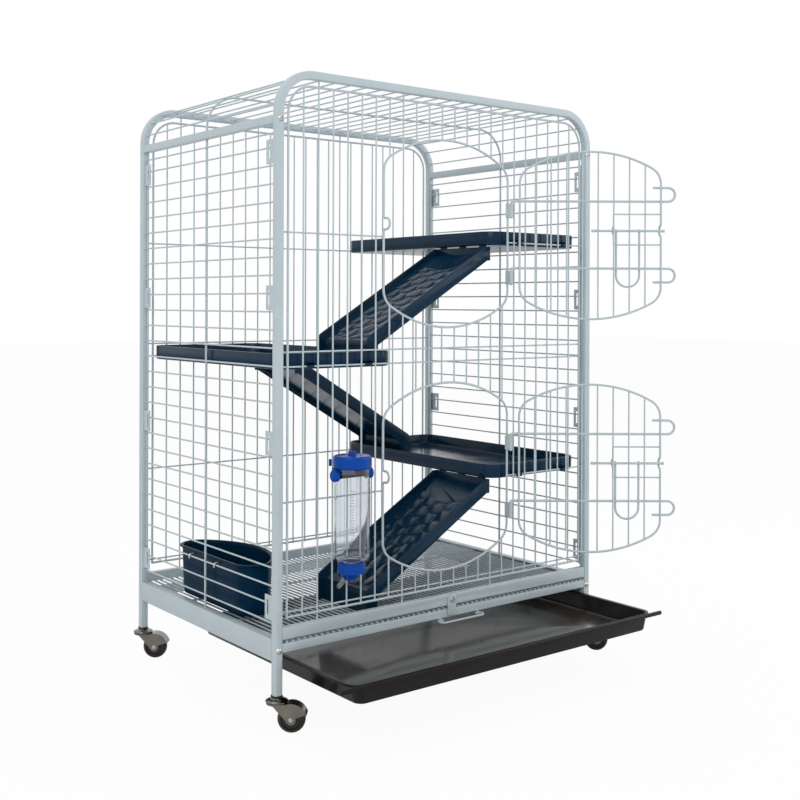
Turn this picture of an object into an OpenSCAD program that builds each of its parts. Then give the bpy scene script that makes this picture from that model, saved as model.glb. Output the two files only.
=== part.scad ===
// Ferret cage on casters: a frame of two bent tube hoops with wire panels, two wire doors,
// three shelves with ramps, a slide-out tray, a bowl and a water bottle.
// Millimetres. X runs along the front, Y runs from the front to the back, Z is up.
// The origin is on the floor, midway between the four posts.
// The doors are drawn open and the tray partly pulled out, as the cage is shown in use.

/* [Frame] */
// Width over the posts
cage_w = 640; // [560:10:760]
// Depth over the posts
cage_d = 440; // [380:4:528]
// Height of the frame's top above the floor
cage_h = 936; // [880:2:1060]
// Side of the square frame tube
tube = 12; // [10:0.1:14.4]
// Wall of the frame tube
tube_wall = 1.2; // [0.8:0.1:1.8]
// Outer radius of the hoops' bent corners
hoop_r = 62; // [50:1:80]
// Height of the posts' lower ends above the floor
post_z = 52; // [50:1:60]
// Height of the side rails' top above the floor, below the frame's top
rail_drop = 67; // [64:1:90]
// Diameter of the frame bolts' shanks
bolt_d = 5; // [4:0.5:6]

/* [Wire work] */
// Diameter of the thin wires
wire_d = 2.5; // [2:0.1:3]
// Diameter of the edge wires and the door opening rings
edge_d = 3.5; // [3:0.1:4]
// Wanted spacing of the wires
wire_pitch = 25.9; // [20:0.1:30]
// Depth that two welded wires sink into each other
weld = 0.45; // [0.3:0.05:0.6]
// Distance of a panel's edge wire from the outside of the posts
panel_in = 22; // [20:1:30]
// Height of the front and back panels' bottom edge wire above the floor
panel_z0 = 157; // [154:1:165]

/* [Doors] */
// Height of the upper door opening's centre
upper_door_z = 713; // [700:1:730]
// Height of the lower door opening's centre
lower_door_z = 332; // [325:1:345]
// Half width of a door opening, at its ring's centreline
ring_a = 127.9; // [107:0.1:154]
// Half height of a door opening
ring_b = 147; // [135:1:155]
// Half height of the ring's straight sides
ring_s = 89; // [80:1:95]
// Gap between a door's edge wire and its ring at the sides, between centrelines
door_gap = 12.4; // [10:0.1:15]
// Gap between a door's edge wire and its ring at the top and the bottom
door_gap_z = 10; // [8:0.5:14]
// Radius of the ring's and the door's corners
ring_rc = 30; // [20:1:35]
// Angle by which the doors stand open
door_open = 142; // [90:1:165]
// Diameter of the hinge bars and the bolt rod
bar_d = 4; // [3.5:0.1:4.5]
// Distance of the hinge axis in front of the posts
hinge_out = 3; // [3:0.5:6]
// Running clearance of the hinge pins, on the radius
pin_clearance = 0.08; // [0.02:0.01:0.1]

/* [Base and tray] */
// Spacing of the floor grate's wires
grate_pitch = 10; // [9:0.5:14]
// Diameter of the floor grate's wires
grate_d = 3; // [2.5:0.1:3.5]
// Distance that the tray is pulled out
tray_out = 146; // [0:1:180]
// Distance from the cage's back to the tray when it is pushed in
tray_back = 24; // [20:1:60]
// Depth of the tray
tray_h = 27; // [20:1:30]
// Wall of the tray
tray_wall = 2.2; // [1.8:0.1:3]
// Width of the tray's front lip
lip_d = 14; // [10:1:20]

/* [Shelves and ramps] */
// Width of a shelf, along X
shelf_w = 208; // [180:1:230]
// Height of a shelf's rim
shelf_h = 23; // [18:1:28]
// Wall of a shelf
shelf_wall = 3; // [2:0.2:4]
// Radius of a shelf's corners
shelf_r = 28; // [15:1:40]
// Width of a ramp, along Y
ramp_w = 135; // [110:1:150]
// Distance that a ramp's foot reaches over the shelf below
ramp_landing = 44; // [32:1:54]
// Fall of a ramp's slope over that length
ramp_fall = 144; // [120:1:150]
// Wall of a ramp
ramp_wall = 3; // [2:0.2:4]
// Height of a ramp's side rims
ramp_rim = 10; // [6:1:14]
// Height of the raised tiles on a ramp's tread
tile_h = 1.2; // [0.8:0.1:2]

/* [Bowl and bottle] */
// Radius of the bowl's round side at its rim
bowl_r = 117; // [100:1:125]
// Height of the bowl
bowl_h = 78; // [60:1:80]
// Wall of the bowl
bowl_wall = 2.5; // [2:0.1:3.5]
// Outer diameter of the bottle
bottle_d = 52; // [46:1:54]
// Wall of the bottle
bottle_wall = 1.5; // [1:0.1:2]
// Height of the bottle's clear body
bottle_h = 133; // [110:1:140]

/* [Casters] */
// Wheel diameter
wheel_d = 40; // [36:1:40]
// Wheel width
wheel_w = 16; // [12:1:17]
// Trail of the wheel's axle behind the swivel axis
trail = 21; // [20:1:24]
// Direction in which the wheels trail, from +X
trail_angle = -40; // [-180:5:180]
// Diameter of the caster's stem
stem_d = 6; // [5:0.5:7]

/* [Hidden] */
$fn = 48;
half_w = cage_w / 2;
half_d = cage_d / 2;
seat = 0.3;                                      // gap between pieces that rest on each other
post_mid = tube / 2;
bend_lap = 0.1;                                  // straight wire inside a bend
bend_swell = 0.04;                               // extra diameter of a wire's bends
arc_x = half_w - hoop_r;                         // centres of the hoops' bends
arc_z = cage_h - hoop_r;
rail_z1 = cage_h - rail_drop;                    // side rails
rail_z0 = rail_z1 - tube;
panel_y = half_d - post_mid;                     // wire planes
side_x = half_w - post_mid;
cross_in = wire_d - weld;                        // the horizontal wires lie behind the uprights
edge_x = half_w - panel_in;
gap_n = round(2 * edge_x / wire_pitch);
pitch_x = 2 * edge_x / gap_n;
inner_x = half_w - tube;                         // between the posts
inner_y = half_d - tube;
panel_r = hoop_r - panel_in;                     // the panels' top corners follow the hoops
panel_top = arc_z + panel_r;
// rails across the front and the back
upper_rail_z0 = 129;
upper_rail_h = 17;
upper_rail_top = upper_rail_z0 + upper_rail_h;
lower_rail_z0 = 111;
lower_rail_h = 12.5;
rear_rail_z0 = 101.5;
rear_rail_h = 13.5;
rear_upper_z0 = 128;
rear_upper_h = 15;
rail_d = tube - 1;                               // depth of these rails
rail_wall = 1.2;
// base plates
plate_z0 = 99;
plate_z1 = 130;
plate_t = 1.5;
plate_flange = 14;
plate_ledge = 22;
base_bolt_z = 115;
rail_bolt_z = (rail_z0 + rail_z1) / 2;
// shelves: the height of the wire that each hangs on
top_wire_z = upper_door_z - 9;
middle_wire_z = 512.5;
lower_wire_z = lower_door_z - 11.5;
middle_pair = 21;                                // distance between the two middle wires
shelf_under = 4.5;                               // the shelf's underside below its wire
floor_rise = shelf_wall - shelf_under;            // the shelf's floor above its wire
shelf_x1 = half_w - post_mid - 8;                // outer edge of a shelf
shelf_y = half_d - post_mid - 8;
shelf_mid = shelf_x1 - shelf_w / 2;
hook_w = 12;
ring_side = edge_x - ring_a - edge_d - hook_w / 2;  // room for the hooks beside the door's ring
shelf_side = edge_x - shelf_x1 + shelf_w - shelf_r - hook_w / 2;  // the straight part of a shelf's rim
hook_side = min(ring_side, shelf_side);
hook_gaps = [1.5, floor(hook_side / pitch_x - 0.5) + 0.5];  // wire gaps that hold a shelf's hooks
// ramps
ramp_y_mid = -(half_d - 28 - ramp_w / 2);
ramp_edge = shelf_x1 - shelf_w;                  // the shelf's edge that a ramp hangs on
ramp_l = 2 * ramp_edge + ramp_landing;           // horizontal length
tab_w = 16;
tab_t = 3;
tab_hook_l = 4;                                  // hooks on the tabs
tab_hook_t = 2.5;
pocket_deep = 1;                                 // pockets in the shelf's floor for those hooks
pocket_gap = 0.8;
tab_in = 9;                                      // tabs' distance inside the shelf's edge
tabs_y = [-50, 0, 50];
ramp_gap = 4;                                    // between the shelf's underside and the ramp's rims
ramp_side = 21;                                  // height of the ramp's side walls
knee_r = 14;
ramp_slope = atan2(ramp_fall, ramp_l);
tile_columns = 4;
tile_pitch = 27.5;                               // along the slope
tile_gap = 3.5;
tile_margin = 4;
tile_r = 7;
tile_sunk = 0.5;
zone_r = 90;                                     // radius of the tiled area's curved ends
zone_top = 50;                                   // along the slope from the shelf's edge
zone_end = 4;                                    // before the knee
// latch plate and wire bail on the front rails
latch_x = 4;
latch_z = 138;
latch_t = 2;
screw_d = 4;
latch_gap = 0.4;
bail_x = [-20, 58];
bail_z = lower_rail_z0 - 3;
bail_d = 3.2;
bail_out = 20;                                   // its front wire from the panel's plane
bail_y = -panel_y - rail_d / 2 - 2.5;            // its axis, far enough out to swing up past the rail
ear_t = 2;
ear_r = 3.8;
// floor grate
grate_z = lower_rail_z0 + lower_rail_h + seat + grate_d / 2;
grate_x = half_w - 20;
grate_n = floor(2 * grate_x / grate_pitch);
grate_rod_d = 3.5;
grate_rod_z = grate_z - grate_d / 2 - grate_rod_d / 2 + weld;
grate_rods = [-half_d + 30, -half_d / 3, half_d / 3, half_d - 30];
// tray
ledge_top = plate_z0 + plate_t;
tray_top = ledge_top + seat + tray_wall;
tray_x = half_w - plate_ledge - 2;               // outside of the tray's body at the rim
tray_rim_x = half_w - 17;
tray_l = cage_d - tray_back;
tray_taper = 14;
tray_y0 = -half_d - 0.4 - tray_out;              // back face of the front lip
lip_drop = 10;
// doors, in their own frame: s away from the hinge, n outwards, z up
hinge_x = ring_a;
hinge_y = -half_d - hinge_out;
door_a = ring_a - door_gap;
door_b = ring_b - door_gap_z;
door_s = ring_s - 4.5;
door_s0 = door_gap + 1;                          // hinge side upright
door_s1 = door_s0 + 2 * door_a;
door_pitch = 2 * door_a / 9;
door_n = 3;                                      // bars stand this far outside the door's wires
door_rise = 2.5;                                 // the door's centre above the opening's centre
bar_z = [58.4, -51.4];                           // hinge bars above the opening's centre
hook_r = 11.25;                                  // bars' U hooks
hook_tip = 2 * ring_a + 12.2;
hook_back = 2 * ring_a - 23.8;
rod_z = 10.3;                                    // bolt rod above the opening's centre
rod_n = edge_d / 2 + 0.35 + bar_d / 2 - door_n;
rod_s1 = 2 * ring_a - 5.4;
bump_h = 8.5;                                    // half height of the keeper loops
keeper_out = post_mid + 9;
bump_out = 12;
guide_z = [37.4, -12.6];
guide_s = door_s0 + 6 * door_pitch;
rod_s0 = guide_s - 36;
handle_s = [guide_s + 5.1, guide_s + 43.1];
handle_z0 = -81.5;
handle_d = 3.5;
handle_n = rod_n + bar_d / 2 + handle_d / 2 - weld;
clip_t = 1.2;
clip_h = 22.5;
pin_l = 28;
// bowl
bowl_x0 = -half_w + post_mid + 9;                // its flat side
bowl_y = 2;                                      // from the side panel's middle upright
bowl_depth = 82;
bowl_slope = 20;
hook_bolt_d = 3;
// side panels
side_first_z = 150.6;
side_rows = floor((rail_z0 - 25 - side_first_z) / wire_pitch) + 1;
side_top_z = rail_z0 - 13;
tab_zs = [172, 404, 611, rail_z0 - 39];
tab_h = 35;
tab_d = 22;
bolt_rise = wire_d / 2 + seat + hook_bolt_d / 2;  // the bowl's bolts above their wire
bolt_drop = 5.55;                                // and below the bowl's rim
bowl_lift = bowl_h + 5 - bolt_rise - bolt_drop;  // the least height of that wire above the grate
bowl_row = ceil((grate_z + grate_d / 2 + bowl_lift - side_first_z) / wire_pitch);
bowl_bolt_z = side_first_z + bowl_row * wire_pitch + bolt_rise;
bowl_top = bowl_bolt_z + bolt_drop;
bowl_bolts = [-40, 40];
// bottle: it hangs outside the front panel and its spout reaches in between two uprights
bottle_x = -edge_x + 3.5 * pitch_x;
bottle_z0 = 233;
bottle_z1 = bottle_z0 + bottle_h;
bottle_top_in = 8;                               // bottle inside its top cap
neck_r = 15;
neck_z0 = bottle_z0 - 13;
cap_r = bottle_d / 2 + 1.5;
cap_h = 18;
lower_cap_z = bottle_z0 - 18;
lower_cap_h = 16;
lower_cap_r = 20;
nozzle_h = 10;                                   // cone under the lower cap
spout_tilt = 46;
spout_d = 7;
spout_l = 46;
socket_l = 20;
ball_r = 2.6;
clip_r = bottle_d / 2 + seat;                    // inside of the bottle's clip
clip_w = 3;
clip_z0 = bottle_z1 - seat - 14;
boss_r = 8.5;
bottle_y = -panel_y - wire_d / 2 - seat - clip_w - clip_r;
// casters
wheel_z = wheel_d / 2;
fork_z = wheel_d + 0.5;                          // underside of the fork's crown
fork_t = 1.6;
race_z = fork_z + 2.4;
race_h = 6;
collar_z = race_z + race_h + seat;
plug_l = 26;
hood_r = race_z - wheel_z;                       // hood over the wheel, round the axle
hood_a = [16, 110];                              // from the trailing end to the crown
rivet_r = 5;
rivet_h = 1.8;
pivot_d = 6;
axle_d = 4;
posts = [[-1, -1], [1, -1], [-1, 1], [1, 1]];
frame_colour = [0.69, 0.745, 0.76];
navy = [0.07, 0.14, 0.23];
black = [0.13, 0.13, 0.13];
zinc = [0.74, 0.74, 0.69];
cap_blue = [0.04, 0.31, 0.74];

// ---- wire bending ----

// straight round rod between two points
module rod(a, b, d) {
    v = b - a;
    l = norm(v);
    translate(a) rotate([0, acos(v[2] / l), atan2(v[1], v[0])]) cylinder(h = l, d = d);
}

// arc of a rod: from start point p, first running along u, about centre c, by angle t
module rod_arc(c, p, u, t, d) {
    r = norm(p - c);
    e = (p - c) / r;
    w = cross(e, u);
    multmatrix([[e[0], u[0], w[0], c[0]], [e[1], u[1], w[1], c[1]], [e[2], u[2], w[2], c[2]], [0, 0, 0, 1]])
        rotate_extrude(angle = t) translate([r, 0]) circle(d = d);
}

function unit(v) = v / norm(v);
function turn(u, v) = acos(max(-1, min(1, u * v)));
// length that a bend of radius r takes from each leg
function bend_leg(u, v, r) = r * tan(turn(u, v) / 2);

// rod bent through the points pts, with a bend radius at each inner point; the bends are a
// trifle thicker, and the straight stretches end inside them
module bent_rod(pts, radii, d) {
    last = len(pts) - 1;
    dirs = [for (i = [0:last - 1]) unit(pts[i + 1] - pts[i])];
    legs = [for (i = [0:last]) (i == 0 || i == last) ? 0 : bend_leg(dirs[i - 1], dirs[i], radii[i - 1])];
    for (i = [0:last - 1]) {
        a = pts[i] + dirs[i] * (i == 0 ? 0 : legs[i] - bend_lap);
        b = pts[i + 1] - dirs[i] * (i == last - 1 ? 0 : legs[i + 1] - bend_lap);
        rod(a, b, d);
    }
    for (i = [1:last - 1]) {
        u = dirs[i - 1];
        v = dirs[i];
        t = turn(u, v);
        centre = pts[i] + unit(v - u) * radii[i - 1] / cos(t / 2);
        rod_arc(centre, pts[i] - u * legs[i], u, t, d + bend_swell);
    }
}

// ---- barrel outline of the openings and doors ----

// radius of the top arc that runs smoothly into corners of radius ring_rc
function crown_r(a, b, s) = (pow(a - ring_rc, 2) + pow(b - s, 2) - pow(ring_rc, 2)) / (2 * (b - s - ring_rc));
function crown_angle(a, b, s) = atan2(a - ring_rc, crown_r(a, b, s) - (b - s));
// height of the outline above its centre at the distance x
function barrel_z(x, a, b, s) =
    abs(x) > crown_r(a, b, s) * sin(crown_angle(a, b, s))
    ? s + sqrt(max(0, pow(ring_rc, 2) - pow(abs(x) - (a - ring_rc), 2)))
    : b - crown_r(a, b, s) + sqrt(pow(crown_r(a, b, s), 2) - x * x);
// heights where the outline's straight lines would meet: over its middle, and over its side
function crown_apex(a, b, s) = b - crown_r(a, b, s) + crown_r(a, b, s) / cos(crown_angle(a, b, s));
function crown_corner(a, b, s) = crown_apex(a, b, s) - a * tan(crown_angle(a, b, s));

// half outline: up the side, over the crown and down the other side; flip is 1 or -1
module barrel_half(a, b, s, d, flip, z0, z1) {
    apex = crown_apex(a, b, s);
    corner = crown_corner(a, b, s);
    bent_rod([[a, 0, flip * z0], [a, 0, flip * corner], [0, 0, flip * apex],
              [-a, 0, flip * corner], [-a, 0, flip * z1]],
             [ring_rc - 0.5, crown_r(a, b, s), ring_rc - 0.5], d);
}

// wire from z0 to z1 at x that bulges out along -Y round a bolt rod at zr; h is half the bulge's height
module keeper(x, z0, z1, zr, out, h, d) {
    bent_rod([[x, 0, z0], [x, 0, zr - h], [x, -out, zr - h], [x, -out, zr + h], [x, 0, zr + h], [x, 0, z1]],
             [3, h - 0.1, h - 0.1, 3], d);
}

// ---- frame ----

module square_bar(side, l) { translate([-side / 2, -side / 2, 0]) cube([side, side, l]); }

// one side of a hoop: post from z0 up and bend, in the XZ plane
module hoop_side(side, z0) {
    translate([half_w - post_mid, 0, z0]) square_bar(side, arc_z - z0);
    translate([arc_x, 0, arc_z]) rotate([90, 0, 0])
        rotate_extrude(angle = 90) translate([hoop_r - post_mid, 0]) square(side, center = true);
}

module hoop_solid(side, z0) {
    hoop_side(side, z0);
    mirror([1, 0, 0]) hoop_side(side, z0);
    translate([-arc_x, -side / 2, cage_h - post_mid - side / 2]) cube([2 * arc_x, side, side]);
}

// inverted U of square tube with bolt holes in its posts; y is its middle plane
module hoop(y) {
    translate([0, y, 0]) difference() {
        hoop_solid(tube, post_z);
        hoop_solid(tube - 2 * tube_wall, post_z - 1);
        for (x = [-side_x, side_x], z = [base_bolt_z, rail_bolt_z])
            translate([x, tube, z]) rotate([90, 0, 0]) cylinder(h = 2 * tube, d = bolt_d + 0.4);
    }
}

module front_hoop() { color(frame_colour) hoop(-panel_y); }
module rear_hoop() { color(frame_colour) hoop(panel_y); }

// square tube between the hoops with a drilled plug in each end
module side_rail(side) {
    plug = 16;
    translate([side * side_x, 0, rail_bolt_z]) difference() {
        rotate([90, 0, 0]) translate([0, 0, -inner_y]) square_bar(tube, 2 * inner_y);
        rotate([90, 0, 0]) translate([0, 0, -inner_y + plug])
            square_bar(tube - 2 * tube_wall, 2 * (inner_y - plug));
        for (s = [-1, 1]) translate([0, s * (inner_y - plug), 0]) rotate([-90 * s, 0, 0])
            translate([0, 0, -1]) cylinder(h = plug + 2, d = bolt_d + 0.1);
    }
}

module left_top_rail() { color(frame_colour) side_rail(-1); }
module right_top_rail() { color(frame_colour) side_rail(1); }

// rectangular tube across the front or back, touching both posts
module cross_rail(y, z0, h) {
    translate([-inner_x, y - rail_d / 2, z0]) difference() {
        cube([2 * inner_x, rail_d, h]);
        translate([-1, rail_wall, rail_wall])
            cube([2 * inner_x + 2, rail_d - 2 * rail_wall, h - 2 * rail_wall]);
    }
}

// ear that holds an end of the wire bail under the front lower rail
module bail_ear(x) {
    root_y = -panel_y + 2;
    translate([x - ear_t / 2, 0, 0]) difference() {
        union() {
            translate([0, bail_y, bail_z]) rotate([0, 90, 0]) cylinder(h = ear_t, r = ear_r);
            translate([0, bail_y, bail_z - ear_r / 2])
                cube([ear_t, root_y - bail_y, lower_rail_z0 + 1 - bail_z + ear_r / 2]);
        }
        translate([-1, bail_y, bail_z]) rotate([0, 90, 0]) cylinder(h = ear_t + 2, d = bail_d + 0.15);
    }
}

module front_upper_rail() {
    color(frame_colour) difference() {
        cross_rail(-panel_y, upper_rail_z0, upper_rail_h);
        translate([latch_x, -panel_y, latch_z]) rotate([90, 0, 0]) cylinder(h = rail_d, d = screw_d + 0.1);
    }
}
module front_lower_rail() {
    color(frame_colour) {
        cross_rail(-panel_y, lower_rail_z0, lower_rail_h);
        for (x = bail_x) bail_ear(x);
    }
}
module rear_upper_rail() { color(frame_colour) cross_rail(panel_y, rear_upper_z0, rear_upper_h); }
module rear_lower_rail() { color(frame_colour) cross_rail(panel_y, rear_rail_z0, rear_rail_h); }

// folded plate along a side: flange on top, web, tray ledge below, rests for the grate
module base_plate(side) {
    rest_z = grate_rod_z - grate_rod_d / 2 - seat - plate_t;
    mirror([side > 0 ? 1 : 0, 0, 0]) translate([-half_w, 0, 0]) {
        translate([0, -inner_y, plate_z0]) cube([plate_t, 2 * inner_y, plate_z1 - plate_z0]);
        translate([0, -inner_y, plate_z1 - plate_t]) cube([plate_flange, 2 * inner_y, plate_t]);
        translate([0, -inner_y, plate_z0]) cube([plate_ledge, 2 * inner_y, plate_t]);
        for (y = grate_rods) translate([0, y - 10, rest_z]) cube([plate_ledge, 20, plate_t]);
        // lugs that take the bolts from the posts
        for (s = [-1, 1]) translate([post_mid, s * (inner_y - 9), base_bolt_z]) difference() {
            translate([-post_mid, -9, -5]) cube([2 * post_mid, 18, 10]);
            rotate([90, 0, 0]) cylinder(h = 20, d = bolt_d + 0.1, center = true);
        }
    }
}

module left_base_plate() { color(frame_colour) base_plate(-1); }
module right_base_plate() { color(frame_colour) base_plate(1); }

// ---- wire panels ----

// keeps the parts of an upright at x that lie outside the door openings and clear of the clips
clip_side = bar_d / 2 + pin_clearance + clip_t + wire_d / 2 + seat;
function upright_spans(x, z0, z1) = let(h = barrel_z(min(abs(x), ring_a), ring_a, ring_b, ring_s))
    abs(x) >= ring_a + clip_side ? [[z0, z1]] :
    [[z0, lower_door_z - h], [lower_door_z + h, upper_door_z - h], [upper_door_z + h, z1]];

// top of the edge wire's centreline at x
function panel_edge_z(x) = abs(x) <= arc_x ? panel_top
    : arc_z + sqrt(max(0, pow(panel_r, 2) - pow(abs(x) - arc_x, 2)));
// uprights that run on to the tube above and the rail below
long_uprights = [2, round(gap_n * 0.35), gap_n - round(gap_n * 0.35), gap_n - 2];
function is_long(k) = len(search(k, long_uprights)) > 0;

// front or back panel in its own plane, seen from the front; the cross wires lie at +Y
module wire_panel(openings) {
    bent_rod([[-edge_x, 0, panel_z0], [-edge_x, 0, panel_top],
              [edge_x, 0, panel_top], [edge_x, 0, panel_z0]], [panel_r, panel_r], edge_d);
    rod([-edge_x, 0, panel_z0 + edge_d / 2 - weld], [edge_x, 0, panel_z0 + edge_d / 2 - weld], edge_d);
    for (k = [1:gap_n - 1]) {
        x = -edge_x + k * pitch_x;
        z0 = is_long(k) ? (openings ? upper_rail_top : rear_upper_z0 + rear_upper_h) : panel_z0 + 1.3;
        z1 = is_long(k) ? cage_h - tube : panel_edge_z(x);
        for (s = openings ? upright_spans(x, z0, z1) : [[z0, z1]]) rod([x, 0, s[0]], [x, 0, s[1]], wire_d);
    }
    // cross wires
    cut_x = ring_a + 0.5 - edge_d / 2 + 1.2;
    for (z = [top_wire_z, lower_wire_z])
        if (openings) for (s = [-1, 1]) rod([s * cut_x, cross_in, z], [s * inner_x, cross_in, z], wire_d);
        else rod([-inner_x, cross_in, z], [inner_x, cross_in, z], wire_d);
    for (z = [middle_wire_z, middle_wire_z + middle_pair, panel_z0 + 8])
        rod([-inner_x, cross_in, z], [inner_x, cross_in, z], wire_d);
}

// ring of a door opening with the bolt's keeper on its free side
module opening_ring(z) {
    translate([0, 0, z]) {
        keeper(-ring_a, -ring_s / 2, ring_s / 2, rod_z, keeper_out, bump_h, edge_d);
        barrel_half(ring_a, ring_b, ring_s, edge_d, 1, 0, ring_s / 2);
        barrel_half(ring_a, ring_b, ring_s, edge_d, -1, 0, ring_s / 2);
    }
}

module front_panel() {
    color(frame_colour) translate([0, -panel_y, 0]) {
        wire_panel(true);
        opening_ring(upper_door_z);
        opening_ring(lower_door_z);
    }
}

module back_panel() { color(frame_colour) rotate(180) translate([0, -panel_y, 0]) wire_panel(false); }

// side panel of close horizontal wires with a middle upright and two edge uprights
module side_panel(side) {
    up = edge_d / 2 + wire_d / 2 - weld;
    edge_y = inner_y - edge_d / 2 - seat;
    for (k = [0:side_rows - 1])
        rod([side * side_x, -inner_y, side_first_z + k * wire_pitch],
            [side * side_x, inner_y, side_first_z + k * wire_pitch], wire_d);
    rod([side * side_x, -inner_y, side_top_z], [side * side_x, inner_y, side_top_z], wire_d);
    rod([side * (side_x - up), 0, plate_z1], [side * (side_x - up), 0, rail_z0], edge_d);
    for (y = [-edge_y, edge_y])
        rod([side * (side_x - up), y, side_first_z - 2], [side * (side_x - up), y, side_top_z + 2], edge_d);
}

module left_panel() { color(frame_colour) side_panel(-1); }
module right_panel() { color(frame_colour) side_panel(1); }

// wires between the hoops over the top and round the shoulders, on a middle hoop of wire
module top_grille() {
    path_r = hoop_r - post_mid;
    top_z = cage_h - post_mid;
    top_n = floor(arc_x / wire_pitch);
    step = 90 / (floor(path_r * PI / 2 / wire_pitch) + 0.5);
    mid_r = path_r - wire_d / 2 - edge_d / 2 + weld;
    mid_x = arc_x + mid_r;
    mid_z = arc_z + mid_r;
    color(frame_colour) {
        for (k = [-top_n:top_n]) {
            x = k * arc_x / top_n;
            rod([x, -inner_y, top_z], [x, inner_y, top_z], wire_d);
        }
        for (s = [-1, 1], a = [step:step:89]) {
            x = s * (arc_x + path_r * sin(a));
            z = arc_z + path_r * cos(a);
            rod([x, -inner_y, z], [x, inner_y, z], wire_d);
        }
        bent_rod([[-mid_x, 0, rail_z1], [-mid_x, 0, mid_z], [mid_x, 0, mid_z], [mid_x, 0, rail_z1]],
                 [mid_r, mid_r], edge_d);
    }
}

// slotted plates on the posts beside the side panels
module panel_tabs() {
    t = 1.6;
    x0 = side_x + wire_d / 2 + 0.35;
    color(frame_colour) for (side = [-1, 1], front = [-1, 1], z = tab_zs)
        translate([side * (x0 + t / 2), front * (inner_y - tab_d / 2), z]) difference() {
            cube([t, tab_d, tab_h], center = true);
            translate([0, -front * 4, 0]) cube([2 * t, 4, tab_h - 14], center = true);
        }
}

// round headed bolt with a hexagon socket, pointing along +Y from the origin
module frame_bolt() {
    head_r = 5;
    head_h = 3;
    rotate([90, 0, 0]) difference() {
        union() {
            intersection() {
                translate([0, 0, -head_r + head_h - 0.5]) sphere(r = head_r + 0.5);
                cylinder(h = head_h, r = head_r);
            }
            translate([0, 0, -tube - 13]) cylinder(h = tube + 13, d = bolt_d);
        }
        translate([0, 0, 1]) cylinder(h = head_h, d = 3.5, $fn = 6);
    }
}

module frame_bolts() {
    color(zinc) for (x = [-side_x, side_x], z = [base_bolt_z, rail_bolt_z]) {
        translate([x, -half_d, z]) frame_bolt();
        rotate(180) translate([x, -half_d, z]) frame_bolt();
    }
}

// ---- base ----

module floor_grate() {
    y0 = -half_d + 1.5;
    y1 = half_d - 2;
    color(frame_colour) {
        for (k = [0:grate_n]) {
            x = -grate_n * grate_pitch / 2 + k * grate_pitch;
            rod([x, y0, grate_z], [x, y1, grate_z], grate_d);
        }
        rod_x = half_w - plate_t - seat;
        for (y = grate_rods) rod([-rod_x, y, grate_rod_z], [rod_x, y, grate_rod_z], grate_rod_d);
    }
}

// block as long as y0 to y1, with sloping sides between its half widths at z0 and z1
module tray_block(x_top, x_bottom, y0, y1, z0, z1) {
    translate([0, y1, 0]) rotate([90, 0, 0]) linear_extrude(y1 - y0)
        polygon([[-x_bottom, z0], [x_bottom, z0], [x_top, z1], [-x_top, z1]]);
}

module tray() {
    y1 = tray_y0 + tray_l;
    z0 = tray_top - tray_h;
    rim_z = tray_top - tray_wall;
    lip_z = rim_z - 3;
    inner_top = tray_x - tray_wall;
    color(black) difference() {
        union() {
            tray_block(tray_x, tray_x - tray_taper, tray_y0, y1 - 6, z0, tray_top);
            // rim along the sides and the back
            translate([-tray_rim_x, tray_y0, rim_z]) cube([2 * tray_rim_x, tray_l, tray_wall]);
            // front lip with its turned down face
            translate([-half_w, tray_y0 - lip_d, lip_z]) cube([cage_w, lip_d, tray_wall]);
            translate([-half_w, tray_y0 - lip_d, lip_z + tray_wall - lip_drop])
                cube([cage_w, tray_wall, lip_drop]);
            translate([-tray_x, tray_y0 - 1, lip_z]) cube([2 * tray_x, 4, tray_wall + 3]);
        }
        tray_block(inner_top, inner_top - tray_taper, tray_y0 + tray_wall, y1 - 6 - tray_wall,
                   z0 + tray_wall, tray_top + 0.01);
    }
}

// plate that turns about its screw and covers the slot in front of the grate's wire ends
module grate_latch() {
    w = 17;
    y = -panel_y - rail_d / 2 - latch_gap;
    color(frame_colour) translate([latch_x, y, 0]) rotate([90, 0, 0]) linear_extrude(latch_t) difference() {
        union() {
            translate([0, latch_z]) circle(d = w);
            translate([-w / 2, 114 + 3]) square([w, latch_z - 117]);
            translate([-w / 2 + 3, 114]) square([w - 6, 3]);
            for (s = [-1, 1]) translate([s * (w / 2 - 3), 117]) circle(r = 3);
        }
        translate([0, latch_z]) circle(d = screw_d + 0.16);
    }
}

module latch_screw() {
    y = -panel_y - rail_d / 2 - latch_gap - latch_t - 0.3;
    color(zinc) translate([latch_x, y, latch_z]) difference() {
        union() {
            rotate([90, 0, 0]) cylinder(h = 2, d1 = 9, d2 = 7);
            rotate([-90, 0, 0]) cylinder(h = latch_t + latch_gap + 4, d = screw_d);
        }
        for (a = [0, 90]) rotate([0, a, 0]) translate([-2.5, -2.5, -0.5]) cube([5, 1.5, 1]);
    }
}

module tray_bail() {
    y0 = bail_y;
    y1 = -panel_y - bail_out;
    over = 5;
    x0 = bail_x[0] - over;
    x1 = bail_x[1] + over;
    color(frame_colour)
        bent_rod([[x0 + 2 * over, y0, bail_z], [x0, y0, bail_z], [x0, y1, bail_z],
                  [x1, y1, bail_z], [x1, y0, bail_z], [x1 - 2 * over, y0, bail_z]],
                 [2.4, 8, 8, 2.4], bail_d);
}

// ---- doors ----

// places a door's pieces: s along the door, -n outwards as -Y when shut
module at_door(z) { translate([hinge_x, hinge_y, z]) rotate(door_open) children(); }

// point of the door: s from the hinge, n outwards, h up
function dp(s, n, h) = [-s, -n, h];

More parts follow.
